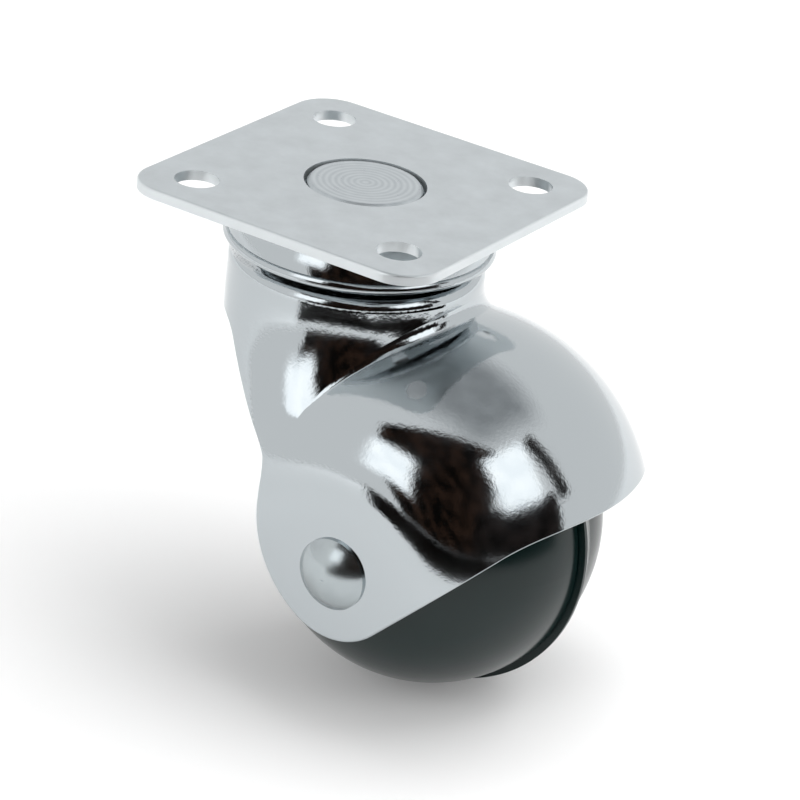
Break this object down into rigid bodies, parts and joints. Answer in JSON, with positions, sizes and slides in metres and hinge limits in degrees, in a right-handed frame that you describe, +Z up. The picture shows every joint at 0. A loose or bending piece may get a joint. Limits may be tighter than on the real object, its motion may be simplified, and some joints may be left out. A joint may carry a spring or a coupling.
{
  "type": "furniture caster",
  "caption": "Square-plate swivel caster with a ball-shaped plastic wheel under a pressed chrome hood; the hood swivels on a double ball race.",
  "frame": {"origin": "centre of the top plate's top face, on the swivel axis", "axes": "+Z up out of the plate, +X towards the side that the ball trails to, +Y along the ball's axle"},
  "size_m": [0.0717, 0.0567, 0.0727],
  "materials": {
    "zinc_plated_plate": "satin bluish zinc plating",
    "bright_chrome_cup": "bright chrome plating",
    "turned_zinc_plated_pin": "turned face with a bright chamfer",
    "hardened_steel_cup": "plain hardened steel",
    "bright_chrome_hood": "bright chrome over pressed steel",
    "zinc_plated_rivet": "satin zinc plating",
    "drawn_steel_sleeve": "plain drawn steel",
    "zinc_plated_washers": "zinc plating",
    "moulded_nylon_ball": "smooth moulded charcoal nylon",
    "polished_bearing_balls": "polished steel"
  },
  "bodies": {
    "mounting_plate": {"top_plate": "zinc_plated_plate", "upper_race_cup": "bright_chrome_cup", "kingpin": "turned_zinc_plated_pin", "lower_race_cup": "hardened_steel_cup"},
    "upper_ball_ring": {"upper_ball_01": "polished_bearing_balls", "upper_ball_02": "polished_bearing_balls", "upper_ball_03": "polished_bearing_balls", "upper_ball_04": "polished_bearing_balls", "upper_ball_05": "polished_bearing_balls", "upper_ball_06": "polished_bearing_balls", "upper_ball_07": "polished_bearing_balls", "upper_ball_08": "polished_bearing_balls", "upper_ball_09": "polished_bearing_balls", "upper_ball_10": "polished_bearing_balls", "upper_ball_11": "polished_bearing_balls", "upper_ball_12": "polished_bearing_balls", "upper_ball_13": "polished_bearing_balls", "upper_ball_14": "polished_bearing_balls", "upper_ball_15": "polished_bearing_balls", "upper_ball_16": "polished_bearing_balls", "upper_ball_17": "polished_bearing_balls"},
    "lower_ball_ring": {"lower_ball_01": "polished_bearing_balls", "lower_ball_02": "polished_bearing_balls", "lower_ball_03": "polished_bearing_balls", "lower_ball_04": "polished_bearing_balls", "lower_ball_05": "polished_bearing_balls", "lower_ball_06": "polished_bearing_balls", "lower_ball_07": "polished_bearing_balls", "lower_ball_08": "polished_bearing_balls", "lower_ball_09": "polished_bearing_balls", "lower_ball_10": "polished_bearing_balls", "lower_ball_11": "polished_bearing_balls", "lower_ball_12": "polished_bearing_balls", "lower_ball_13": "polished_bearing_balls"},
    "swivel_hood": {"hood": "bright_chrome_hood", "axle_rivet": "zinc_plated_rivet", "axle_sleeve": "drawn_steel_sleeve", "near_washer": "zinc_plated_washers", "far_washer": "zinc_plated_washers"},
    "ball_wheel": {"wheel_half_near": "moulded_nylon_ball", "wheel_half_far": "moulded_nylon_ball"}
  },
  "joints": [
    {"name": "hood_swivel", "type": "hinge", "parent": "mounting_plate", "child": "swivel_hood", "pos_m": [0, 0, 0], "axis": [0, 0, 1], "continuous": true},
    {"name": "upper_balls_roll", "type": "hinge", "parent": "mounting_plate", "child": "upper_ball_ring", "pos_m": [0, 0, 0], "axis": [0, 0, 1], "continuous": true},
    {"name": "lower_balls_roll", "type": "hinge", "parent": "mounting_plate", "child": "lower_ball_ring", "pos_m": [0, 0, 0], "axis": [0, 0, 1], "continuous": true},
    {"name": "wheel_spin", "type": "hinge", "parent": "swivel_hood", "child": "ball_wheel", "pos_m": [0.0175, 0, -0.04685], "axis": [0, 1, 0], "continuous": true}
  ],
  "couplings": [
    {"joint": "upper_balls_roll", "follows": "hood_swivel", "ratio": 0.5},
    {"joint": "lower_balls_roll", "follows": "hood_swivel", "ratio": 0.5}
  ]
}
